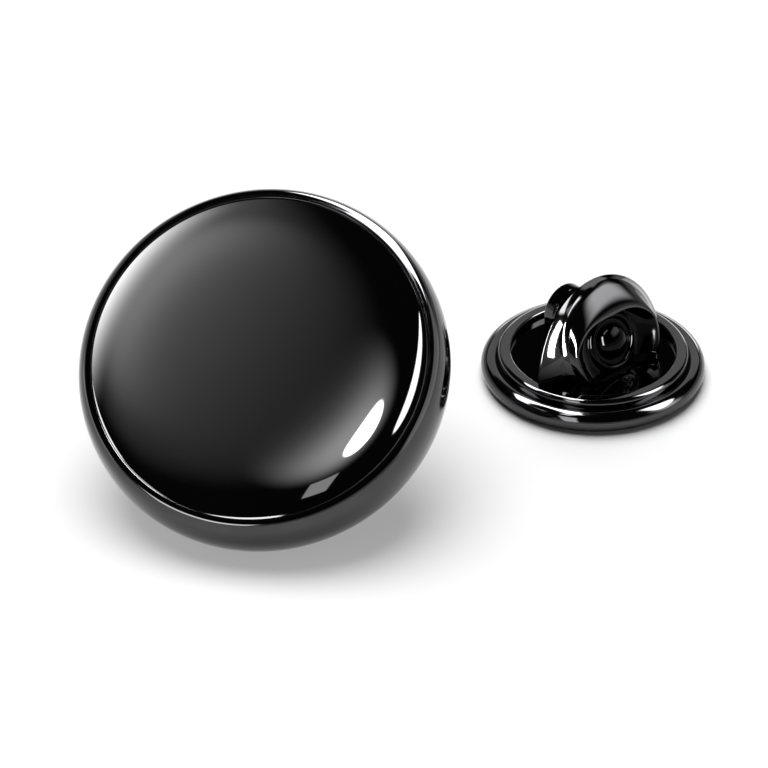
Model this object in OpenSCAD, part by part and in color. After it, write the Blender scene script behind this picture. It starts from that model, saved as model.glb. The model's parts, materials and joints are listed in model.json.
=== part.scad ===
// Round enamel pin leaning on its own post, with its butterfly clutch beside it.
// Millimetres, +Z up, the table at z = 0, the viewer's side at -Y.

/* [Pin] */
// Largest diameter of the metal body
pin_d = 18.6; // [15:0.1:22]
// Diameter of the enamelled face inside the rim
face_d = 16.8; // [13:0.1:20]
// Height of the widest line above the back
belly_h = 1.8; // [1:0.1:2.2]
// Height of the rim's crest above the widest line
crest_h = 1.85; // [1.5:0.05:2.5]
// How far the rim's side bulges beyond its crest
rim_bulge = 0.75; // [0.4:0.05:1.2]
// Depth of the recess below the rim's crest
recess_depth = 1.0; // [0.6:0.1:1.4]
// Thickness of the enamel
enamel_t = 0.7; // [0.4:0.05:0.9]
// Rise of the resin at the middle, above its edge
dome_rise = 0.5; // [0.1:0.05:0.8]
// Lean of the pin away from lying flat
lean = 37.5; // [34:0.5:44]
// Turn of the pin's face to the viewer's left
turn = 13.8; // [0:0.1:30]

/* [Post] */
// Diameter of the post
post_d = 1.0; // [0.9:0.05:1.2]
// Diameter of the post's grip neck, at its narrowest
neck_d = 0.8; // [0.6:0.05:0.85]
// Length of the grip neck
neck_l = 0.5; // [0.3:0.1:1]
// Length of the post's tapered tip
tip_l = 1.6; // [1:0.1:2.2]
// Diameter of the nail's flat head
head_d = 3.4; // [2.5:0.1:5]
// Thickness of the nail's flat head
head_t = 0.3; // [0.2:0.05:0.5]

/* [Clutch] */
// Diameter over the bead rim
clutch_d = 11.6; // [11:0.1:12.5]
// Diameter of the bead rim's round section
bead_d = 1.1; // [0.8:0.1:1.3]
// Outer diameter of the stepped ring
ring_d = 9.86; // [9.4:0.02:10]
// Inner diameter of the stepped ring
ring_bore_d = 8.54; // [8.2:0.02:8.8]
// Height of the stepped ring's top
ring_top = 1.5; // [1.4:0.05:1.8]
// Diameter of the hole for the post
bore_d = 1.16; // [1.1:0.02:1.3]
// Turn of the front wing's face to the viewer's right
wing_turn = 42; // [20:1:60]
// Clutch axis from the middle of the pin's back, to the right
clutch_gap_x = 16.5; // [15.5:0.1:25]
// Clutch axis from the middle of the pin's back, away from the viewer
clutch_gap_y = 8.6; // [5:0.1:15]

/* [Front wing] */
// Radius of the wing's rim
wing_r = 3.03; // [2.6:0.01:3.2]
// Distance of the rim's centre from the clutch axis
wing_x = 1.8; // [1.7:0.05:2]
// Height of the rim's centre
wing_z = 2.8; // [2.6:0.05:3]
// Lean of the rim towards the clutch axis
wing_lean = 21.5; // [18:0.5:24]
// How strongly the wing's band flares behind its rim
band_flare = 0.4; // [0.3:0.01:0.44]
// Distance of the band's back edge from the clutch axis, at the wing's foot
back_x = 0.35; // [0.3:0.05:0.6]
// Lean of the band's back edge towards the clutch axis
back_lean = 9; // [6:0.5:10]

/* [Rear wing] */
// Radius of the small wing's round top
ear_r = 1.31; // [1.2:0.01:1.5]
// Distance of the small wing's face from the clutch axis
ear_x = 2.37; // [2.2:0.01:2.5]
// Height of the round top's centre
ear_z = 3; // [2.8:0.05:3.2]
// Depth of the small wing's band
ear_depth = 0.85; // [0.6:0.05:0.95]

/* [Hidden] */
$fn = 96;

pin_r = pin_d / 2;
face_r = face_d / 2;
crest_r = pin_r - rim_bulge;
crest_z = belly_h + crest_h;
recess_z = crest_z - recess_depth;
dome_edge_z = crest_z - 0.08;      // the resin's edge lies just below the crest
shoulder = 5.5;                    // power of the resin's profile: flat middle, round edge

// Support of the leaning rim: how far it reaches below the middle of its widest circle
rim_low = crest_r * sin(lean) + norm([rim_bulge * sin(lean), belly_h * cos(lean)]);
back_height = rim_low - belly_h * cos(lean);
post_l = back_height / cos(lean);
neck_start = post_l - tip_l - neck_l;

seat_depth = 0.1;                  // shallow seat in the back that centres the nail's head
solder_leg = 0.28;                 // how far the solder spreads past the head
seat_r = head_d / 2 + solder_leg;

bead_r = bead_d / 2;
web_low = 0.12;
web_top = 0.32;
wall_t = 0.38;                     // thickness of the cap's wall inside the bead
wall_top = 0.95;                   // the stepped ring and the clip plate rest here
plate_top = 1.1;
plate_r = ring_d / 2 - 0.33;       // the plate's edge is held under the stepped ring
plate_dish = 0.1;                  // the clip plate is dished by this much in the middle
jaw_low = 0.62;
jaw_top = 0.82;
jaw_w = 2.6;
jaw_gap = 0.41;                    // from the clutch axis to a jaw's edge, shut
tongue_x = 1.6;
tongue_t = 0.3;
tongue_w = 2.2;
slot_clear = 0.16;
foot_z = 1.33;                     // the wings stop here, clear of the plate
sheet_t = 0.24;                    // thickness of the wings' sheet
dish_depth = 1.15;
band_reach = 2.2;                  // depth to which the band is turned, before its back edge is cut
wing_clear_r = 4.16;               // the wings stay inside this, clear of the stepped ring

// Distance from the frame's origin to the middle of the pin's back, so that the whole
// arrangement is centred: the pin reaches furthest left and nearest, the clutch
// furthest right and back
n = [-sin(lean) * sin(turn), -sin(lean) * cos(turn), cos(lean)];
function reach(c, h) = h * c + crest_r * sqrt(1 - c * c)
    + norm([rim_bulge * sqrt(1 - c * c), (c > 0 ? crest_h : belly_h) * c]);
pin_left = reach(-n[0], belly_h);
pin_near = reach(-n[1], belly_h);
pin_x = (pin_left - clutch_gap_x - clutch_d / 2) / 2;
pin_y = (pin_near - clutch_gap_y - clutch_d / 2) / 2;

// Points of a quarter ellipse about (x, z), from angle a to angle b
function arc(x, z, rx, rz, a, b, steps = 24) =
    [for (i = [0:steps]) let (t = a + (b - a) * i / steps) [x + rx * cos(t), z + rz * sin(t)]];

module pin_place() {
    translate([pin_x, pin_y, back_height]) rotate([lean, 0, -turn]) children();
}

module clutch_place() {
    translate([pin_x + clutch_gap_x, pin_y + clutch_gap_y, 0])
        rotate([0, 0, wing_turn - 90]) children();
}

// ---- Pin ----

module metal_body() {
    lip = 0.12;
    outline = concat(
        [[0, seat_depth], [seat_r, seat_depth], [seat_r, 0]],
        arc(crest_r, belly_h, rim_bulge, belly_h, -90, 0),
        arc(crest_r, belly_h, rim_bulge, crest_h, 0, 90),
        arc(face_r + lip, crest_z - lip, lip, lip, 90, 180, 6),
        [[face_r, recess_z], [0, recess_z]]);
    color("#2b2b2e") pin_place() rotate_extrude() polygon(outline);
}

module enamel_fill() {
    color("#0a0a0b") pin_place() translate([0, 0, recess_z])
        cylinder(r = face_r, h = enamel_t);
}

module epoxy_dome() {
    steps = 32;
    low = recess_z + enamel_t;
    crown = [for (i = [steps:-1:0]) let (u = i / steps)
        [face_r * u, dome_edge_z + dome_rise * (1 - pow(u, shoulder))]];
    color("#151517") pin_place() rotate_extrude()
        polygon(concat([[0, low], [face_r, low]], crown));
}

module post() {
    tip_r = 0.14;
    root = 0.25;                   // the shaft widens by this much where it meets the head
    hr = head_d / 2;
    pr = post_d / 2;
    nr = neck_d / 2;
    head_low = seat_depth - head_t;
    outline = concat(
        [[0, seat_depth], [hr, seat_depth], [hr, head_low],
         [pr + root, head_low], [pr, head_low - root],
         [pr, -neck_start], [nr, -neck_start - neck_l / 2], [pr, -neck_start - neck_l]],
        arc(0, tip_r - post_l, tip_r, tip_r, 0, -90, 6));
    color("#8e8e92") pin_place() rotate_extrude() polygon(outline);
}

module solder_joint() {
    r0 = head_d / 2;
    height = head_t - 0.02;        // the solder stops just short of the head's edge
    fillet = concat([[r0, seat_depth]],
        arc(seat_r, seat_depth - height, solder_leg, height, 90, 180, 8));
    color("#a9a9ad") pin_place() rotate_extrude() polygon(fillet);
}

// ---- Clutch ----

module clutch_cap() {
    inner = ring_d / 2 - wall_t;
    color("#2b2b2e") clutch_place() difference() {
        rotate_extrude() union() {
            translate([clutch_d / 2 - bead_r, bead_r]) circle(r = bead_r);
            translate([0, web_low]) square([clutch_d / 2 - bead_r, web_top - web_low]);
            translate([inner, web_low]) square([wall_t, wall_top - web_low]);
        }
        translate([0, 0, wall_top]) cylinder(d = ring_d, h = 3);
        translate([0, 0, -1]) cylinder(d = bore_d, h = 3);
    }
}

module retaining_ring() {
    r0 = ring_bore_d / 2;
    r1 = ring_d / 2;
    round_r = 0.14;
    outline = concat(
        [[r1, wall_top], [r1, ring_top - round_r]],
        arc(r1 - round_r, ring_top - round_r, round_r, round_r, 0, 90, 8),
        arc(r0 + 1.5 * round_r, ring_top - 1.5 * round_r, 1.5 * round_r, 1.5 * round_r, 90, 180, 8),
        [[r0, plate_top], [plate_r, plate_top], [plate_r, wall_top]]);
    color("#343438") clutch_place() rotate_extrude() polygon(outline);
}

module clip_plate() {
    slot_l = tongue_w + 2 * slot_clear;
    slot_w = tongue_t + 2 * slot_clear;
    post_clear = 0.5;
    steps = 12;
    plate_t = plate_top - wall_top;
    function dished(u) = plate_top - plate_dish * (1 - pow(u, 3));
    color("#1c1c1f") clutch_place() difference() {
        rotate_extrude() polygon(concat(
            [for (i = [0:steps]) [plate_r * i / steps, dished(i / steps)]],
            [for (i = [steps:-1:0]) [plate_r * i / steps, dished(i / steps) - plate_t]]));
        translate([0, 0, jaw_low]) cylinder(d = post_d + post_clear, h = 2);
        for (side = [-1, 1])
            translate([side * (tongue_x + tongue_t / 2) - slot_w / 2, -slot_l / 2, 0])
                cube([slot_w, slot_l, 2]);
    }
}

module spring_washer() {
    color("#77777c") clutch_place() rotate_extrude()
        polygon([[0.75, web_top], [0.95, web_top], [1.6, 0.35], [1.6, 0.42], [0.9, 0.4], [0.75, 0.4]]);
}

// One jaw leaf below the plate, reaching to +X from the post to the tongue
module jaw_leaf() {
    reach_x = tongue_x + tongue_t;
    translate([jaw_gap, -jaw_w / 2, jaw_low]) cube([reach_x - jaw_gap, jaw_w, jaw_top - jaw_low]);
}

// The tongue that joins a wing to its jaw through the plate
module tongue() {
    root = 0.35;                   // how far the tongue reaches up into the wing
    translate([tongue_x, -tongue_w / 2, jaw_top]) cube([tongue_t, tongue_w, foot_z + root - jaw_top]);
}

// The front wing is one dished sheet, turned about the axis of its rim: a shallow bowl with a
// boss in the middle, folded back at the rim into a band that flares towards the clutch
module front_sheet() {
    steps = 10;
    boss_r = 0.85;
    boss_h = 0.5;
    function bowl(r) = -dish_depth * pow(1 - pow(r / wing_r, 2), 0.85);
    function band(d) = wing_r + band_flare * d * d;
    boss_front = arc(0, bowl(boss_r), boss_r, boss_h, 90, 0, 8);
    bowl_front = [for (i = [1:steps]) let (r = boss_r + (wing_r - boss_r) * i / steps) [r, bowl(r)]];
    band_outer = [for (i = [1:steps]) let (d = band_reach * i / steps) [band(d), -d]];
    band_inner = [for (i = [steps:-1:2]) let (d = band_reach * i / steps) [band(d) - sheet_t, -d]];
    bowl_back = [for (i = [steps - 1:-1:0]) let (r = wing_r * i / steps) [r, bowl(r) - sheet_t]];
    rotate_extrude() polygon(concat(boss_front, bowl_front, band_outer, band_inner, bowl_back));
}

module front_wing() {
    big = 12;
    color("#2b2b2e") clutch_place() union() {
        intersection() {
            translate([wing_x, 0, wing_z]) rotate([0, 90 - wing_lean, 0]) front_sheet();
            translate([back_x, -big / 2, foot_z]) rotate([0, -back_lean, 0])
                translate([0, 0, -big / 2]) cube([big, big, big]);
            translate([0, 0, foot_z]) cylinder(r = wing_clear_r, h = big);
        }
        tongue();
    }
}

module front_jaw() {
    color("#6d6d72") clutch_place() jaw_leaf();
}

// The small wing's outline in its own plane, grown by g: round top, straight sides
module ear_outline(g) {
    translate([0, ear_z]) circle(r = ear_r + g);
    translate([-ear_r - g, foot_z]) square([2 * (ear_r + g), ear_z - foot_z]);
}

module rear_wing() {
    ear_dish = 0.3;                // the small wing's face lies this far behind its rim
    color("#2b2b2e") clutch_place() mirror([1, 0, 0]) union() {
        translate([ear_x, 0, 0]) rotate([90, 0, -90]) difference() {
            linear_extrude(height = ear_depth) ear_outline(0);
            translate([0, 0, -1]) linear_extrude(height = 1 + ear_dish) ear_outline(-sheet_t);
        }
        tongue();
    }
}

module rear_jaw() {
    color("#6d6d72") clutch_place() mirror([1, 0, 0]) jaw_leaf();
}

metal_body();
enamel_fill();
epoxy_dome();
post();
solder_joint();
clutch_cap();
retaining_ring();
clip_plate();
spring_washer();
front_wing();
front_jaw();
rear_wing();
rear_jaw();
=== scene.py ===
"""Looks for the round enamel pin and its butterfly clutch: black nickel, black enamel, clear resin.

Everything is in metres in the CAD frame: +Z up from the table, +X from the pin to the clutch,
-Y towards the viewer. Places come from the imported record's mounts and joints.
"""
import json
import math

import bmesh
import bpy
from mathutils import Matrix, Vector


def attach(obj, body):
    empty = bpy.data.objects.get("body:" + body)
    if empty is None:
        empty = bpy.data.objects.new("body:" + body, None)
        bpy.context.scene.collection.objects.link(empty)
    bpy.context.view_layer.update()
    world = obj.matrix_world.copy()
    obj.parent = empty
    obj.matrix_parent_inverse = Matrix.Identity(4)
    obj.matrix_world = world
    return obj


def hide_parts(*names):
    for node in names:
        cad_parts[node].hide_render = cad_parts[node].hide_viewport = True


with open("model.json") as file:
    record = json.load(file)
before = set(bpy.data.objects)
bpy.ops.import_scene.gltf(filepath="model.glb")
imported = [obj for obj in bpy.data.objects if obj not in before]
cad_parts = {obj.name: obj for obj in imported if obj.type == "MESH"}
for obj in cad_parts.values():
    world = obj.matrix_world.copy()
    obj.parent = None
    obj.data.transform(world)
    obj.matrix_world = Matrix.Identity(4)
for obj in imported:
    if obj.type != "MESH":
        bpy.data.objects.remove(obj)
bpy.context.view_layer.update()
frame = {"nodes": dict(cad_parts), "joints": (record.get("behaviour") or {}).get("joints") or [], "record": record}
MM = 0.001

# ---------------------------------------------------------------- places from the frame

MOUNTS = {m["name"]: m for m in frame["record"]["mounts"]}
JOINTS = {j["name"]: j for j in frame["joints"]}


def mount_place(name):
    mount = MOUNTS[name]
    return Vector(mount["pos_m"]), Vector(mount["axis"]).normalized()


def frame_matrix(origin, across, up):
    """A local frame whose Z is up and whose X is across, made square."""
    z = up.normalized()
    x = (across - across.dot(z) * z).normalized()
    y = z.cross(x)
    square = Matrix((x, y, z)).transposed().to_4x4()
    return Matrix.Translation(origin) @ square


def pin_matrix():
    """Pin frame: origin in the middle of the back, Z out of the face, X to the viewer's right."""
    on_post, down = mount_place("post")
    on_back, _ = mount_place("pin_back")
    centre = on_post + down * (on_back - on_post).dot(down)
    return frame_matrix(centre, on_back - centre, -down)


def clutch_matrix():
    """Clutch frame: origin on the table under the bore, Z up, X the way the front wing faces."""
    bore, _ = mount_place("clutch_bore")
    hinge = Vector(JOINTS["front_wing_squeeze"]["pos_m"])
    across = Vector((hinge.x - bore.x, hinge.y - bore.y, 0))
    return frame_matrix(Vector((bore.x, bore.y, 0)), across, Vector((0, 0, 1)))


PIN = pin_matrix()
CLUTCH = clutch_matrix()

# ---------------------------------------------------------------- mesh helpers


def arc(x, z, rx, rz, start, stop, steps):
    """Points of an ellipse about (x, z), in degrees."""
    points = []
    for i in range(steps + 1):
        a = math.radians(start + (stop - start) * i / steps)
        points.append((x + rx * math.cos(a), z + rz * math.sin(a)))
    return points


def bend_point(p0, p1, p2, t):
    """The point at share t of a quadratic curve from p0 to p2, drawn towards p1."""
    w0, w1, w2 = (1 - t) ** 2, 2 * t * (1 - t), t * t
    return (w0 * p0[0] + w1 * p1[0] + w2 * p2[0], w0 * p0[1] + w1 * p1[1] + w2 * p2[1])


def bend(p0, p1, p2, steps):
    return [bend_point(p0, p1, p2, i / steps) for i in range(steps + 1)]


def make_object(name, verts, faces, place, sharp_deg=35):
    """A smooth-shaded mesh object; verts are millimetres in the frame that place describes."""
    mesh = bpy.data.meshes.new(name)
    mesh.from_pydata([place @ (Vector(v) * MM) for v in verts], [], faces)
    work = bmesh.new()
    work.from_mesh(mesh)
    bmesh.ops.remove_doubles(work, verts=work.verts, dist=0.0005 * MM)
    bmesh.ops.recalc_face_normals(work, faces=work.faces)
    work.to_mesh(mesh)
    work.free()
    mesh.shade_smooth()
    mesh.set_sharp_from_angle(angle=math.radians(sharp_deg))
    obj = bpy.data.objects.new(name, mesh)
    bpy.context.scene.collection.objects.link(obj)
    return obj


def turned(name, outline, place, segments=224, sharp_deg=35, wobble=None):
    """A solid of revolution about the frame's Z; outline is a closed loop of (radius, height)."""
    verts, faces = [], []
    count = len(outline)
    for j in range(segments):
        a = 2 * math.pi * j / segments
        for k, (r, z) in enumerate(outline):
            if wobble:
                r, z = wobble(r, z, a)
            verts.append((r * math.cos(a), r * math.sin(a), z))
    for j in range(segments):
        nxt = (j + 1) % segments
        for k in range(count):
            k2 = (k + 1) % count
            if outline[k][0] == 0 and outline[k2][0] == 0:
                continue
            quad = [j * count + k, nxt * count + k, nxt * count + k2, j * count + k2]
            if outline[k][0] == 0:
                quad.pop(1)
            elif outline[k2][0] == 0:
                quad.pop(2)
            faces.append(quad)
    return make_object(name, verts, faces, place, sharp_deg)


def sheet_grid(rows):
    """Vertices and faces of a grid of points, rows of equal length."""
    width = len(rows[0])
    verts = [p for row in rows for p in row]
    faces = []
    for i in range(len(rows) - 1):
        for j in range(width - 1):
            a = i * width + j
            faces.append((a, a + 1, a + width + 1, a + width))
    return verts, faces


def add_modifier(obj, kind, **settings):
    mod = obj.modifiers.new(kind.title(), kind)
    for key, value in settings.items():
        setattr(mod, key, value)
    return mod


def apply_modifiers(obj):
    """Bakes the modifiers into the mesh, so that the piece is plain geometry."""
    bpy.context.view_layer.update()
    graph = bpy.context.evaluated_depsgraph_get()
    ready = obj.evaluated_get(graph)
    mesh = bpy.data.meshes.new_from_object(ready, preserve_all_data_layers=True, depsgraph=graph)
    obj.modifiers.clear()
    obj.data = mesh


# ---------------------------------------------------------------- materials


def node(tree, kind, **settings):
    made = tree.nodes.new(kind)
    for key, value in settings.items():
        setattr(made, key, value)
    return made


def noise(tree, coords, scale, detail, rough=0.55, stretch=None):
    tex = node(tree, "ShaderNodeTexNoise")
    tex.inputs["Scale"].default_value = scale
    tex.inputs["Detail"].default_value = detail
    tex.inputs["Roughness"].default_value = rough
    source = coords
    if stretch:
        mapping = node(tree, "ShaderNodeMapping")
        mapping.inputs["Scale"].default_value = stretch
        tree.links.new(coords, mapping.inputs["Vector"])
        source = mapping.outputs["Vector"]
    tree.links.new(source, tex.inputs["Vector"])
    return tex.outputs["Fac"]


def spread(tree, value, low, high, from_low=0.3, from_high=0.7):
    """Maps a noise value to a range."""
    ramp = node(tree, "ShaderNodeMapRange")
    ramp.inputs["From Min"].default_value = from_low
    ramp.inputs["From Max"].default_value = from_high
    ramp.inputs["To Min"].default_value = low
    ramp.inputs["To Max"].default_value = high
    tree.links.new(value, ramp.inputs["Value"])
    return ramp.outputs["Result"]


def blend_colours(tree, factor, first, second):
    mix = node(tree, "ShaderNodeMix", data_type="RGBA")
    mix.inputs["A"].default_value = (*first, 1)
    mix.inputs["B"].default_value = (*second, 1)
    tree.links.new(factor, mix.inputs["Factor"])
    return mix.outputs["Result"]


def bump(tree, height, strength, distance):
    made = node(tree, "ShaderNodeBump")
    made.inputs["Strength"].default_value = strength
    made.inputs["Distance"].default_value = distance
    tree.links.new(height, made.inputs["Height"])
    return made.outputs["Normal"]


def start_material(name):
    """A new material with its Principled shader and its object coordinates."""
    mat = bpy.data.materials.new(name)
    mat.use_nodes = True
    tree = mat.node_tree
    shader = tree.nodes["Principled BSDF"]
    coords = node(tree, "ShaderNodeTexCoord").outputs["Object"]
    return mat, tree, shader, coords


def plating(tree, coords):
    """The plating's colour, with its faint cloud."""
    cloud = spread(tree, noise(tree, coords, 380, 3), 0, 1)
    return blend_colours(tree, cloud, (0.060, 0.060, 0.062), (0.072, 0.072, 0.073))


def polish(tree, shader, coords):
    """Handling haze in the gloss, and the hairlines that polishing leaves."""
    haze = noise(tree, coords, 900, 6, 0.6)
    tree.links.new(spread(tree, haze, 0.035, 0.085), shader.inputs["Roughness"])
    hairline = noise(tree, coords, 2600, 2, 0.5, stretch=(1, 1, 0.12))
    tree.links.new(bump(tree, hairline, 0.05, 0.000004), shader.inputs["Normal"])


def black_nickel():
    """Mirror-bright black nickel plating."""
    mat, tree, shader, coords = start_material("black_nickel")
    shader.inputs["Metallic"].default_value = 1.0
    tree.links.new(plating(tree, coords), shader.inputs["Base Color"])
    polish(tree, shader, coords)
    return mat


def black_nickel_wing_painted_shade():
    """Painted shade: the plating's colour is darkened towards the wing's foot, deep in the clutch, where shade
    falls.
    """
    shade_painted_below, shade_ends_above = 0.0017, 0.0028
    mat, tree, shader, coords = start_material("black_nickel_wing_painted_shade")
    shader.inputs["Metallic"].default_value = 1.0
    cloud = spread(tree, noise(tree, coords, 380, 3), 0, 1)
    # painted shade: near-black plating colour, blended in by height below the wing's middle
    dark = blend_colours(tree, cloud, (0.006, 0.006, 0.006), (0.010, 0.010, 0.010))
    split = node(tree, "ShaderNodeSeparateXYZ")
    tree.links.new(coords, split.inputs[0])
    height = spread(tree, split.outputs["Z"], 0, 1, shade_painted_below, shade_ends_above)
    mix = node(tree, "ShaderNodeMix", data_type="RGBA")
    tree.links.new(height, mix.inputs["Factor"])
    tree.links.new(dark, mix.inputs["A"])
    tree.links.new(plating(tree, coords), mix.inputs["B"])
    tree.links.new(mix.outputs["Result"], shader.inputs["Base Color"])
    polish(tree, shader, coords)
    return mat


def black_nickel_painted_shade():
    """Painted shade: inside the wing's hollow the plating's colour is made almost black, where shade falls."""
    mat, tree, shader, coords = start_material("black_nickel_painted_shade")
    shader.inputs["Metallic"].default_value = 1.0
    cloud = noise(tree, coords, 420, 4)
    # painted shade: near-black colour standing in for the shade inside the hollow
    colour = blend_colours(tree, spread(tree, cloud, 0, 1), (0.006, 0.006, 0.0062), (0.011, 0.011, 0.0112))
    tree.links.new(colour, shader.inputs["Base Color"])
    haze = noise(tree, coords, 1100, 5, 0.6)
    tree.links.new(spread(tree, haze, 0.05, 0.12), shader.inputs["Roughness"])
    tree.links.new(bump(tree, haze, 0.06, 0.000005), shader.inputs["Normal"])
    return mat


def black_nickel_sanded():
    """The same plating over a fine sandblasted back."""
    mat, tree, shader, coords = start_material("black_nickel_sanded")
    shader.inputs["Metallic"].default_value = 1.0
    grit = noise(tree, coords, 5200, 6, 0.65)
    cloud = noise(tree, coords, 300, 3)
    colour = blend_colours(tree, spread(tree, cloud, 0, 1), (0.070, 0.070, 0.072), (0.095, 0.094, 0.096))
    tree.links.new(colour, shader.inputs["Base Color"])
    tree.links.new(spread(tree, grit, 0.28, 0.42), shader.inputs["Roughness"])
    tree.links.new(bump(tree, grit, 0.5, 0.000012), shader.inputs["Normal"])
    return mat


def clear_resin():
    """Black enamel under a clear dome: deep black, glassy, with the faintest unevenness."""
    mat, tree, shader, coords = start_material("clear_resin")
    shader.inputs["IOR"].default_value = 1.5
    depth = spread(tree, noise(tree, coords, 160, 3), 0, 1)
    colour = blend_colours(tree, depth, (0.0002, 0.0002, 0.00022), (0.0005, 0.0005, 0.00055))
    tree.links.new(colour, shader.inputs["Base Color"])
    haze = noise(tree, coords, 420, 5, 0.6)
    tree.links.new(spread(tree, haze, 0.012, 0.035), shader.inputs["Roughness"])
    swell = noise(tree, coords, 110, 1)
    tree.links.new(bump(tree, swell, 0.03, 0.00004), shader.inputs["Normal"])
    return mat


def black_enamel():
    """The enamel itself, glossy and slightly orange-peeled."""
    mat, tree, shader, coords = start_material("black_enamel")
    tone = noise(tree, coords, 500, 4)
    colour = blend_colours(tree, spread(tree, tone, 0, 1), (0.004, 0.004, 0.0045), (0.009, 0.009, 0.0095))
    tree.links.new(colour, shader.inputs["Base Color"])
    tree.links.new(spread(tree, tone, 0.08, 0.16), shader.inputs["Roughness"])
    tree.links.new(bump(tree, noise(tree, coords, 1400, 2), 0.15, 0.00001), shader.inputs["Normal"])
    return mat


def spring_steel():
    """Oil-blackened spring steel with a rolled grain."""
    mat, tree, shader, coords = start_material("spring_steel")
    shader.inputs["Metallic"].default_value = 1.0
    grain = noise(tree, coords, 1500, 4, 0.6, stretch=(0.08, 1, 1))
    colour = blend_colours(tree, spread(tree, grain, 0, 1), (0.10, 0.10, 0.105), (0.16, 0.16, 0.165))
    tree.links.new(colour, shader.inputs["Base Color"])
    tree.links.new(spread(tree, grain, 0.16, 0.32), shader.inputs["Roughness"])
    tree.links.new(bump(tree, grain, 0.2, 0.000006), shader.inputs["Normal"])
    return mat


MATERIALS = {
    "black_nickel": black_nickel(),
    "black_nickel_wing_painted_shade": black_nickel_wing_painted_shade(),
    "black_nickel_painted_shade": black_nickel_painted_shade(),
    "black_nickel_sanded": black_nickel_sanded(),
    "clear_resin": clear_resin(),
    "black_enamel": black_enamel(),
    "spring_steel": spring_steel(),
}

# Each group of pieces has its own lamps; the lists fill as the pieces are made
LIT = {name: [] for name in ("dome", "metal", "cap", "hood", "ear", "recess", "table")}


def finish_piece(obj, body, slot, lit, *replaced):
    """Material, body, slot, the lamps' group and the CAD node that the piece stands for."""
    obj.data.materials.clear()
    obj.data.materials.append(MATERIALS[slot])
    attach(obj, body)
    if replaced:
        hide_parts(*replaced)
    LIT[lit].append(obj)


# ---------------------------------------------------------------- pin

PIN_R = 9.3
BELLY_H = 1.8
CREST_H = 1.85
BULGE = 0.75
FACE_R = 8.4
CREST_R = PIN_R - BULGE
CREST_Z = BELLY_H + CREST_H
RECESS_Z = CREST_Z - 1.0
DOME_EDGE_Z = CREST_Z - 0.08
DOME_SWELL = 0.12
DOME_SHOULDER = 0.38
SEAT_DEPTH = 0.1
HEAD_R = 1.7
SOLDER_LEG = 0.28


def pin_body():
    """The die-struck body: flat back with a seat for the nail, bulging wall, sharp lip, deep recess."""
    lip = 0.035
    seat_r, seat_edge = HEAD_R + SOLDER_LEG, 0.02
    outline = [(0, SEAT_DEPTH), (seat_r, SEAT_DEPTH), (seat_r, seat_edge), (seat_r + seat_edge, 0)]
    outline += [(r, 0) for r in (4, 6)]
    outline += arc(CREST_R, BELLY_H, BULGE, BELLY_H, -90, 0, 40)
    outline += arc(CREST_R, BELLY_H, BULGE, CREST_H, 0, 90, 56)[1:]
    outline += arc(FACE_R + lip, CREST_Z - lip, lip, lip, 90, 180, 12)
    outline += [(FACE_R, RECESS_Z), (4, RECESS_Z), (0, RECESS_Z)]
    obj = turned("pin_body", outline, PIN, 320)
    finish_piece(obj, "pin", "black_nickel", "metal", "metal_body")
    obj.data.materials.append(MATERIALS["black_nickel_sanded"])
    _, out_of_back = mount_place("pin_back")
    for face in obj.data.polygons:
        if face.normal.dot(out_of_back) > 0.97:
            face.material_index = 1


def resin_dome():
    """The resin's cap: a flat swell in the middle and a rounder shoulder; points crowd at its edge."""
    low = RECESS_Z + 0.7
    steps = 90
    outline = [(0, low), (FACE_R, low)]
    for i in range(steps + 1):
        u = 1 - (i / steps) ** 1.5
        outline.append((FACE_R * u, DOME_EDGE_Z + DOME_SWELL * (1 - u ** 2) + DOME_SHOULDER * (1 - u ** 7)))
    obj = turned("resin_dome", outline, PIN, 320)
    finish_piece(obj, "pin", "clear_resin", "dome", "epoxy_dome")


def nail_post():
    """A headed nail: filleted root, rounded grip groove and a slim tapered tip."""
    middle, down = mount_place("post")
    straight = MOUNTS["post"]["dims"]["length_mm"]
    groove = (middle - PIN.translation).dot(down) / MM + straight / 2
    head_t, head_round = 0.3, 0.08
    shaft_r, root = 0.5, 0.25
    neck_r, neck_l = 0.4, 0.5
    tip_l, tip_r = 1.6, 0.14
    low = SEAT_DEPTH - head_t
    neck_end = groove + neck_l
    end = -(neck_end + tip_l)
    outline = [(0, SEAT_DEPTH), (HEAD_R, SEAT_DEPTH), (HEAD_R, low + head_round)]
    outline += arc(HEAD_R - head_round, low + head_round, head_round, head_round, 0, -90, 8)
    outline += bend((shaft_r + root, low), (shaft_r, low), (shaft_r, low - root), 12)
    waist = (2 * neck_r - shaft_r, -groove - neck_l / 2)
    outline += bend((shaft_r, -groove), waist, (shaft_r, -neck_end), 16)
    outline += arc(0, end + tip_r, tip_r, tip_r, 8, -90, 10)
    obj = turned("nail_post", outline, PIN, 96)
    finish_piece(obj, "pin", "black_nickel", "metal", "post")


def solder_fillet():
    """A thin meniscus of solder round the nail's head, a little uneven as solder runs."""
    height = 0.28
    outline = [(HEAD_R, SEAT_DEPTH)]
    outline += arc(HEAD_R + SOLDER_LEG, SEAT_DEPTH - height, SOLDER_LEG, height, 90, 180, 16)

    def uneven(r, z, a):
        run = 0.02 * math.sin(3 * a + 0.6) + 0.012 * math.sin(7 * a) + 0.006 * math.sin(13 * a + 2)
        share = (r - HEAD_R) / SOLDER_LEG
        return r + run * share, z + 0.6 * run * (1 - share)

    obj = turned("solder_fillet", outline, PIN, 192, wobble=uneven)
    finish_piece(obj, "pin", "black_nickel", "metal", "solder_joint")


# ---------------------------------------------------------------- clutch


RING_R = 4.93
WALL_TOP = 0.95
PLATE_R = 4.6
PLATE_TOP = 1.1


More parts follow.
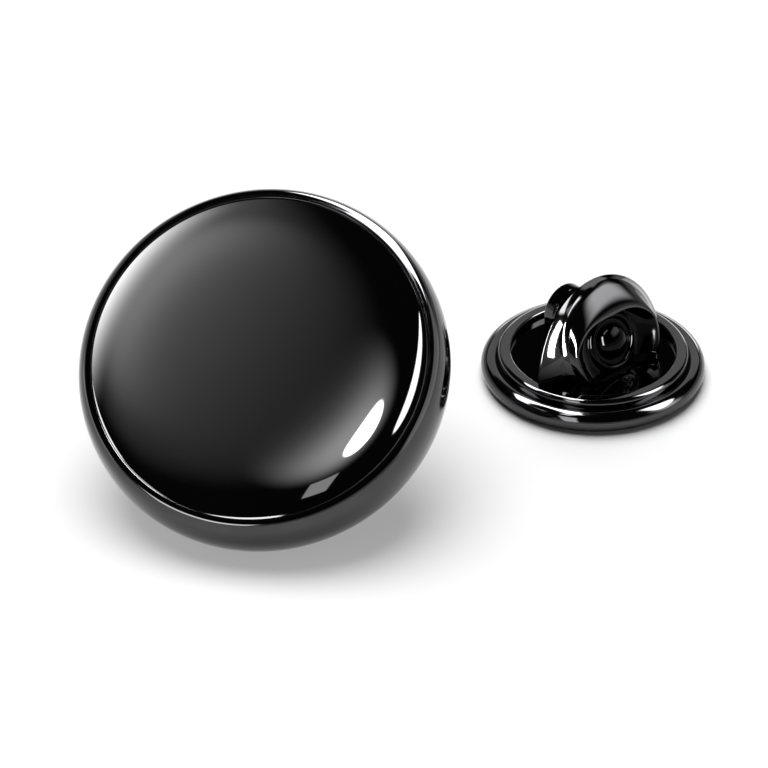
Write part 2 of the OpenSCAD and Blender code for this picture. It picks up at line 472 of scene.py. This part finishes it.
def clutch_base():
    """The cap: a thin web with the post's bore, a rolled bead and the wall that holds the ring."""
    radius, bead, wall_t = 5.8, 0.55, 0.38
    bore, bevel = 0.58, 0.05
    low, top = 0.12, 0.32
    inside = RING_R - wall_t
    outline = [(bore, low + bevel), (bore + bevel, low), (radius - bead - 0.42, low)]
    outline += arc(radius - bead, bead, bead, bead, 219, 360 + 133, 72)
    outline += [(RING_R - 0.02, WALL_TOP), (inside, WALL_TOP), (inside, top)]
    outline += [(bore + bevel, top), (bore, top - bevel)]
    obj = turned("clutch_base", outline, CLUTCH, 288)
    finish_piece(obj, "clutch", "black_nickel", "cap", "clutch_cap")


def stepped_ring():
    """The step inside the bead: flat top, round outer edge, crisper inner one."""
    inside, top = 4.27, 1.5
    outer, inner = 0.22, 0.09
    outline = [(RING_R, WALL_TOP)]
    outline += arc(RING_R - outer, top - outer, outer, outer, 0, 90, 16)
    outline += arc(inside + inner, top - inner, inner, inner, 90, 180, 12)
    outline += [(inside, PLATE_TOP), (PLATE_R, PLATE_TOP), (PLATE_R, WALL_TOP)]
    obj = turned("stepped_ring", outline, CLUTCH, 288)
    finish_piece(obj, "clutch", "black_nickel", "cap", "retaining_ring")


def box_mesh(x, half_x, half_y, low, top):
    """Corners and sides of an upright box about (x, 0)."""
    square = ((-1, -1), (1, -1), (1, 1), (-1, 1))
    corners = [(x + i * half_x, j * half_y, z) for z in (low, top) for i, j in square]
    sides = [(0, 1, 2, 3), (7, 6, 5, 4), (0, 4, 5, 1), (1, 5, 6, 2), (2, 6, 7, 3), (3, 7, 4, 0)]
    return corners, sides


def clip_plate():
    """The sprung plate in the cap's recess, dished towards the post, with the wings' two slots."""
    dish, thick, hole = 0.1, 0.15, 0.75
    slot_x, slot_half_x, slot_half_y = 1.75, 0.31, 1.26

    def height(r):
        return PLATE_TOP - dish * (1 - (r / PLATE_R) ** 3)

    rings = [hole + (PLATE_R - hole) * i / 60 for i in range(61)]
    outline = [(r, height(r)) for r in rings] + [(r, height(r) - thick) for r in reversed(rings)]
    obj = turned("clip_plate_dished", outline, CLUTCH, 256, 50)
    for side in (-1, 1):
        corners, sides = box_mesh(side * slot_x, slot_half_x, slot_half_y, 0.2, 1.6)
        cutter = make_object("slot_cutter", corners, sides, CLUTCH)
        add_modifier(obj, "BOOLEAN", operation="DIFFERENCE", solver="EXACT", object=cutter)
        apply_modifiers(obj)
        bpy.data.objects.remove(cutter)
    obj.data.set_sharp_from_angle(angle=math.radians(50))
    finish_piece(obj, "clutch", "black_nickel", "recess", "clip_plate")


WING_R = 3.03
WING_X = 1.8
WING_Z = 2.8
WING_LEAN = math.radians(21.5)
BAND_START = 0.72
BAND_FLARE = 0.4
BACK_X = 0.35
BACK_LEAN = math.radians(9)
FOOT_Z = 1.33
SHEET = 0.24
BOSS_R = 0.88
COLLAR_R = 1.4
HOLLOW_R = 1.78
LIP_R = 2.88
LIP_DEPTH = 0.5


def wing_point(r, d, a):
    """A point of the front wing: radius r, depth d behind the rim's plane, angle a round it."""
    x = WING_X - r * math.sin(a) * math.sin(WING_LEAN) - d * math.cos(WING_LEAN)
    y = r * math.cos(a)
    z = WING_Z + r * math.sin(a) * math.cos(WING_LEAN) - d * math.sin(WING_LEAN)
    return (x, y, z)


def foot_angle(r, d):
    """The angle at which a ring of the front wing comes down to the foot."""
    s = (FOOT_Z - WING_Z + d * math.sin(WING_LEAN)) / max(r * math.cos(WING_LEAN), 1e-6)
    return math.asin(max(-1.0, min(1.0, s)))


def band_radius(d):
    return WING_R - SHEET / 2 + BAND_FLARE * d * d


def back_depth(a):
    """Depth of the band's back edge at angle a."""
    low, high = 0.2, 2.2
    for _ in range(30):
        d = (low + high) / 2
        x, _, z = wing_point(band_radius(d), d, a)
        if x > BACK_X - math.tan(BACK_LEAN) * (z - FOOT_Z):
            low = d
        else:
            high = d
    return low


def brow(a):
    """Share of the brow at angle a: the hood's lip is broad over its top, thin elsewhere."""
    off = abs(math.degrees(a) - 90) / 84
    return math.cos(math.pi / 2 * off) ** 1.2 if off < 1 else 0.0


def opening(a):
    """Radius of the hollow's edge."""
    return 2.76 - 1.2 * brow(a)


def edge_depth(a):
    return 0.10 - 0.08 * brow(a)


def floor_radius(a):
    return min(HOLLOW_R, opening(a) - 0.1)


def floor_depth(r):
    """The hollow's floor: a thin raised collar round a domed boss."""
    depth = 0.62 - 0.2 * math.exp(-((r - COLLAR_R) / 0.12) ** 2)
    if r < BOSS_R:
        depth -= 0.6 * math.sqrt(1 - (r / BOSS_R) ** 2)
    return depth


# The hood's section in five stretches: each gives radius and depth at share k of it, at angle a


def on_boss(k, a):
    r = BOSS_R * math.sin(math.pi / 2 * k) + 0.0001
    return r, floor_depth(r)


def on_floor(k, a):
    r = BOSS_R + (floor_radius(a) - BOSS_R) * k
    return r, floor_depth(r)


def up_the_wall(k, a):
    across, rise = bend_point((0, 0), (0.55, 0), (1, 1), k)
    r, depth = floor_radius(a), floor_depth(floor_radius(a))
    return r + (opening(a) - r) * across, depth + (edge_depth(a) - depth) * rise


def over_the_brow(k, a):
    r, depth = opening(a), edge_depth(a)
    return r + (LIP_R - r) * k, depth + (LIP_DEPTH - depth) * k ** 1.7


def round_the_fold(k, a):
    corner = (LIP_R + 0.1, LIP_DEPTH + 0.07)
    return bend_point((LIP_R, LIP_DEPTH), corner, (band_radius(BAND_START), BAND_START), k)


def hood_row(section, k, columns):
    """One line of points round the hood, from foot to foot."""
    low = foot_angle(*section(k, -0.5))
    row = []
    for j in range(columns):
        a = low + (math.pi - 2 * low) * j / (columns - 1)
        row.append(wing_point(*section(k, a), a))
    return row


def band_row(share, columns):
    """One line of points round the band, at a share of the way to its back edge."""
    row = []
    for j in range(columns):
        d = BAND_START
        for _ in range(12):
            low = foot_angle(band_radius(d), d)
            a = low + (math.pi - 2 * low) * j / (columns - 1)
            d = BAND_START + (back_depth(a) - BAND_START) * share
        row.append(wing_point(band_radius(d), d, a))
    return row


def paint_shade_in_hollow(obj):
    """Puts the near-black plating, the mesh's second material, inside the hollow's edge: painted shade in the
    hollow.
    """
    to_clutch = CLUTCH.inverted()
    for face in obj.data.polygons:
        x, y, z = (to_clutch @ face.center) / MM
        up = (z - WING_Z) * math.cos(WING_LEAN) - (x - WING_X) * math.sin(WING_LEAN)
        if math.hypot(y, up) < opening(math.atan2(up, y)) - 0.04:
            face.material_index = 1


def front_wing():
    """Hood of sheet metal: a rounded brow round a deep hollow, folded back into a flaring band."""
    columns, band_steps = 161, 22
    steps = [(on_boss, i / 12) for i in range(12)]
    steps += [(on_floor, i / 40) for i in range(41)]
    steps += [(up_the_wall, i / 18) for i in range(1, 19)]
    steps += [(over_the_brow, i / 30) for i in range(1, 31)]
    steps += [(round_the_fold, i / 10) for i in range(1, 11)]
    rows = [hood_row(section, k, columns) for section, k in steps]
    rows += [band_row(i / band_steps, columns) for i in range(1, band_steps + 1)]
    verts, faces = sheet_grid(rows)
    obj = make_object("front_wing_hood", verts, faces, CLUTCH, 60)
    add_modifier(obj, "SOLIDIFY", thickness=SHEET * MM, offset=0.0)
    apply_modifiers(obj)
    finish_piece(obj, "front_wing_lever", "black_nickel", "hood", "front_wing")
    # painted shade on the wing: darker towards its foot, and near-black inside the hollow
    obj.data.materials[0] = MATERIALS["black_nickel_wing_painted_shade"]
    obj.data.materials.append(MATERIALS["black_nickel_painted_shade"])
    paint_shade_in_hollow(obj)


def rear_wing():
    """A rounded lobe, closed and smooth towards the post, dished on its outer side."""
    ear_r, ear_x, ear_z, depth = 1.31, 2.37, 3.0, 0.85
    dish, lip, round_r = 0.3, 0.14, 0.34
    top_steps, leg = 72, 14

    def ring(k, x):
        """The lobe's outline, shrunk by k, at a distance x from the post."""
        points = []
        for i in range(leg):
            points.append((-x, -ear_r * k, FOOT_Z + (ear_z - FOOT_Z) * i / leg))
        for i in range(top_steps + 1):
            a = math.pi * (1 - i / top_steps)
            points.append((-x, ear_r * k * math.cos(a), ear_z + ear_r * k * math.sin(a)))
        for i in range(leg):
            points.append((-x, ear_r * k, ear_z - (ear_z - FOOT_Z) * (i + 1) / leg))
        return points

    inner_x = ear_x - depth
    back_k = 1 - 1.2 * round_r / ear_r
    path = [(i / 20 * 0.84, ear_x - dish) for i in range(1, 20)]
    path += bend((0.84, ear_x - dish), (0.9, ear_x - dish), (0.9, ear_x - lip), 8)
    path += bend((0.9, ear_x - lip), (0.9, ear_x), (0.95, ear_x), 8)[1:]
    path += bend((0.95, ear_x), (1.0, ear_x), (1.0, ear_x - lip), 8)[1:]
    path += bend((1.0, inner_x + round_r), (1.0, inner_x), (back_k, inner_x), 14)
    path += [(back_k * (1 - i / 16), inner_x - 0.05 * math.sin(math.pi / 2 * i / 16)) for i in range(1, 16)]
    rows = [ring(k, x) for k, x in path]
    verts, faces = sheet_grid(rows)
    width = len(rows[0])
    for i in range(len(rows) - 1):
        faces.append((i * width, (i + 1) * width, (i + 2) * width - 1, (i + 1) * width - 1))
    faces.append(tuple(range(width)))
    faces.append(tuple(range((len(rows) - 1) * width, len(rows) * width)))
    obj = make_object("rear_wing_lobe", verts, faces, CLUTCH, 50)
    finish_piece(obj, "rear_wing_lever", "black_nickel", "ear", "rear_wing")


pin_body()
resin_dome()
nail_post()
solder_fillet()
clutch_base()
clip_plate()
stepped_ring()
front_wing()
rear_wing()

for name, slot, lit_with in (
    ("enamel_fill", "black_enamel", "dome"),
    ("spring_washer", "spring_steel", "recess"),
    ("front_jaw", "spring_steel", "recess"),
    ("rear_jaw", "spring_steel", "recess"),
):
    cad = frame["nodes"][name]
    cad.data.materials.clear()
    cad.data.materials.append(MATERIALS[slot])
    LIT[lit_with].append(cad)

# ---------------------------------------------------------------- floor, light, camera


def floor():
    half = 2.5
    corners = [(-half, -half, 0), (half, -half, 0), (half, half, 0), (-half, half, 0)]
    mesh = bpy.data.meshes.new("floor")
    mesh.from_pydata(corners, [], [(0, 1, 2, 3)])
    obj = bpy.data.objects.new("floor", mesh)
    bpy.context.scene.collection.objects.link(obj)
    mat, tree, shader, coords = start_material("floor_white")
    shader.inputs["Roughness"].default_value = 0.9
    shader.inputs["Specular IOR Level"].default_value = 0.0
    colour = blend_colours(tree, noise(tree, coords, 3, 2), (0.90, 0.90, 0.90), (0.91, 0.91, 0.91))
    tree.links.new(colour, shader.inputs["Base Color"])
    mesh.materials.append(mat)
    LIT["table"].append(obj)


LAMP_DISTANCE = 0.5


def sky_direction(plan):
    """Direction of a point of the sky plan: degrees from overhead, to the right and to the back."""
    x, y = plan
    from_top = math.radians(math.hypot(x, y))
    az = math.atan2(x, y)
    return Vector((math.sin(az) * math.sin(from_top), math.cos(az) * math.sin(from_top), math.cos(from_top)))


def falloff(tree, shape, soft, taper):
    """Brightness over a lamp's face: 1 inside, easing to 0 over the outer part that soft gives."""

    def calc(operation, first, second=None):
        made = node(tree, "ShaderNodeMath", operation=operation)
        for socket, value in zip(made.inputs, (first, second)):
            if isinstance(value, (int, float)):
                socket.default_value = value
            elif value is not None:
                tree.links.new(value, socket)
        return made.outputs[0]

    def ease(value):
        made = node(tree, "ShaderNodeMapRange", interpolation_type="SMOOTHERSTEP")
        made.inputs["From Min"].default_value = 1.0
        made.inputs["From Max"].default_value = 1.0 - soft
        tree.links.new(value, made.inputs["Value"])
        return made.outputs["Result"]

    split = node(tree, "ShaderNodeSeparateXYZ")
    tree.links.new(node(tree, "ShaderNodeNewGeometry").outputs["Parametric"], split.inputs[0])
    across = calc("SUBTRACT", calc("MULTIPLY", split.outputs["X"], 2), 1)
    upward = calc("SUBTRACT", calc("MULTIPLY", split.outputs["Y"], 2), 1)
    if taper:
        width = calc("ADD", calc("MULTIPLY", across, taper / 2), 1 - abs(taper) / 2)
        upward = calc("DIVIDE", upward, width)
    if shape == "round":
        squares = calc("ADD", calc("MULTIPLY", across, across), calc("MULTIPLY", upward, upward))
        return ease(calc("SQRT", squares))
    return calc("MULTIPLY", ease(calc("ABSOLUTE", across)), ease(calc("ABSOLUTE", upward)))


def lamp(name, receivers, target, plan, size, brightness, turn=0, shape="box", soft=0.3, taper=0.0,
         blockers=None):
    """A softbox aimed at target: place in the sky plan, angular size in degrees, surface brightness."""
    data = bpy.data.lights.new(name, "AREA")
    data.shape = "RECTANGLE"
    data.size = 2 * LAMP_DISTANCE * math.tan(math.radians(size[0] / 2))
    data.size_y = 2 * LAMP_DISTANCE * math.tan(math.radians(size[1] / 2))
    data.energy = brightness * math.pi * data.size * data.size_y
    data.use_nodes = True
    tree = data.node_tree
    tree.links.new(falloff(tree, shape, soft, taper), tree.nodes["Emission"].inputs["Strength"])
    obj = bpy.data.objects.new(name, data)
    towards = sky_direction(plan)
    step = (plan[0] + 0.1 * math.cos(math.radians(turn)), plan[1] + 0.1 * math.sin(math.radians(turn)))
    across = sky_direction(step) - towards
    obj.matrix_world = frame_matrix(target + towards * LAMP_DISTANCE, across, towards)
    bpy.context.scene.collection.objects.link(obj)
    obj.light_linking.receiver_collection = receivers
    obj.light_linking.blocker_collection = blockers
    obj.visible_camera = False


def strip(name, receivers, target, start, end, width, brightness, **more):
    """A long softbox from one point of the sky plan to another."""
    middle = ((start[0] + end[0]) / 2, (start[1] + end[1]) / 2)
    length = math.hypot(end[0] - start[0], end[1] - start[1])
    turn = math.degrees(math.atan2(end[1] - start[1], end[0] - start[0]))
    lamp(name, receivers, target, middle, (length, width), brightness, turn, **more)


def daylight(name, receivers, plan, width, brightness):
    """Even light from a broad part of the sky, at any distance from the object."""
    data = bpy.data.lights.new(name, "SUN")
    data.angle = math.radians(width)
    data.energy = brightness
    obj = bpy.data.objects.new(name, data)
    obj.rotation_euler = sky_direction(plan).to_track_quat("Z", "Y").to_euler()
    bpy.context.scene.collection.objects.link(obj)
    obj.light_linking.receiver_collection = receivers


def group(name, objects):
    made = bpy.data.collections.new(name)
    for obj in objects:
        made.objects.link(obj)
    return made


def light():
    lit = {name: group("lit_" + name, pieces) for name, pieces in LIT.items()}
    face = PIN @ Vector((0, 0, CREST_Z * MM))
    clutch = CLUTCH.translation + Vector((0, 0, 0.002))

    clutch_pieces = group("clutch_pieces", LIT["cap"] + LIT["hood"] + LIT["ear"] + LIT["recess"])
    pin_pieces = group("pin_pieces", LIT["dome"] + LIT["metal"])
    table = lit["table"]
    daylight("table_day", table, (-6, 14), 52, 2.35)
    lamp("table_back", table, clutch, (-4, 50), (64, 44), 4.5, soft=0.6, blockers=clutch_pieces)
    lamp("table_front", table, clutch, (-38, -34), (50, 40), 0.5, soft=0.6, blockers=pin_pieces)

    dome = lit["dome"]
    lamp("dome_key", dome, face, (-49, 18), (66, 59), 23, shape="round", soft=1.0)
    lamp("dome_glow", dome, face, (-28, -4), (40, 36), 2.7, shape="round", soft=1.0)
    lamp("dome_fill", dome, face, (-30, 15), (56, 96), 2.0, soft=1.0)
    lamp("dome_spot", dome, face, (-5.5, -26.8), (6.8, 9.2), 40, shape="round", soft=0.12)
    lamp("dome_halo", dome, face, (-8.5, -26), (23, 24), 6.5, shape="round", soft=1.0)
    lamp("dome_window", dome, face, (-8, -40.3), (5.2, 8.4), 4.8, soft=0.12)
    strip("dome_sliver", dome, face, (17, -7), (10, -34.5), 8, 28, shape="round", soft=0.1, taper=0.75)
    strip("dome_edge_left", dome, face, (-56.5, 2), (-54.5, -28), 4, 22, soft=0.2)
    strip("dome_edge_low_left", dome, face, (-55, -29), (-41, -51), 4, 14, soft=0.2)
    strip("dome_edge_low", dome, face, (-41, -51.5), (-15, -57.5), 4, 24, soft=0.2)
    strip("dome_edge_right", dome, face, (11, 13), (20.5, -5), 3, 15, soft=0.2)

    metal = lit["metal"]
    lamp("metal_back", metal, face, (22, 39), (38, 62), 22, soft=0.22)
    strip("metal_wedge", metal, face, (-15, -14.5), (26, 24), 32, 22, soft=0.12, taper=0.95)
    lamp("metal_left", metal, face, (-60, 38), (50, 60), 0.55, soft=0.3)
    strip("metal_far_left", metal, face, (-84, 25), (-84, -22), 20, 1.3, soft=0.3)
    lamp("metal_right", metal, face, (68, -8), (50, 76), 1.3, soft=0.4)
    strip("metal_low", metal, face, (-27, -72), (-62, -52), 20, 8, soft=0.3)

    cap = lit["cap"]
    strip("cap_left", cap, clutch, (-3, 42), (-42, 6), 11, 20, soft=0.2)
    strip("cap_over", cap, clutch, (-4, 41), (-8, 1), 9, 20, soft=0.2)
    strip("cap_over_low", cap, clutch, (-8, 2), (-18, -16), 8, 8, soft=0.4)
    strip("cap_front", cap, clutch, (-20, -28), (-32, -80), 18, 4.5, soft=0.4)
    lamp("cap_right", cap, clutch, (41, 1), (58, 25), 20, turn=-42, shape="round", soft=0.3)
    lamp("cap_far_right", cap, clutch, (66, -12), (50, 44), 5, soft=1.0)
    lamp("cap_back", cap, clutch, (0, 57), (70, 22), 0.9, soft=0.3)
    lamp("cap_far_back", cap, clutch, (10, 78), (46, 14), 5.5, soft=0.3)

    hood = lit["hood"]
    strip("hood_over", hood, clutch, (-18, -26), (8, 3), 14, 13, soft=0.4)
    lamp("hood_side", hood, clutch, (-25, 0), (16, 34), 1.6, soft=0.4)
    strip("hood_front", hood, clutch, (-28, -32), (-18, -82), 12, 100, soft=0.15)
    lamp("hood_back", hood, clutch, (12, 40), (30, 50), 1.6, soft=0.4)
    strip("hood_brow", hood, clutch, (54, 40), (42, -30), 44, 5, soft=0.8)

    lamp("ear_top", lit["ear"], clutch, (13, 32), (14, 14), 4, soft=0.5)
    lamp("ear_left", lit["ear"], clutch, (-68, 48), (20, 20), 3, soft=0.5)


def sky():
    """Dark overhead, pale near the horizon, and plain white where the camera looks past the floor."""
    world = bpy.data.worlds.new("studio")
    world.use_nodes = True
    bpy.context.scene.world = world
    tree = world.node_tree
    tree.nodes.clear()
    split = node(tree, "ShaderNodeSeparateXYZ")
    tree.links.new(node(tree, "ShaderNodeTexCoord").outputs["Generated"], split.inputs[0])
    level = node(tree, "ShaderNodeMapRange", interpolation_type="SMOOTHERSTEP")
    level.inputs["From Min"].default_value = math.sin(math.radians(22))
    level.inputs["From Max"].default_value = math.sin(math.radians(8))
    level.inputs["To Min"].default_value = 0.02
    level.inputs["To Max"].default_value = 0.6
    tree.links.new(split.outputs["Z"], level.inputs["Value"])
    glow = node(tree, "ShaderNodeBackground")
    tree.links.new(level.outputs["Result"], glow.inputs["Strength"])
    plain = node(tree, "ShaderNodeBackground")
    plain.inputs["Color"].default_value = (1, 1, 1, 1)
    mix = node(tree, "ShaderNodeMixShader")
    tree.links.new(node(tree, "ShaderNodeLightPath").outputs["Is Camera Ray"], mix.inputs[0])
    tree.links.new(glow.outputs[0], mix.inputs[1])
    tree.links.new(plain.outputs[0], mix.inputs[2])
    out = node(tree, "ShaderNodeOutputWorld")
    tree.links.new(mix.outputs[0], out.inputs["Surface"])


CAMERA_ELEVATION = math.radians(34)
CAMERA_DISTANCE = 0.266
CAMERA_FOV = math.radians(8.54)
AIM = Vector((-0.00072, 0.00495, 0))


def camera():
    data = bpy.data.cameras.new("camera")
    data.sensor_width = 36
    data.angle = CAMERA_FOV
    data.clip_start = 0.01
    data.clip_end = 50
    obj = bpy.data.objects.new("camera", data)
    back = Vector((0, -math.cos(CAMERA_ELEVATION), math.sin(CAMERA_ELEVATION)))
    obj.location = AIM + back * CAMERA_DISTANCE
    obj.rotation_euler = back.to_track_quat("Z", "Y").to_euler()
    bpy.context.scene.collection.objects.link(obj)
    bpy.context.scene.camera = obj


floor()
light()
sky()
camera()
scene = bpy.context.scene
scene.view_settings.view_transform = "Standard"
scene.cycles.use_denoising = True
scene.cycles.caustics_reflective = False
scene.cycles.sample_clamp_indirect = 6.0
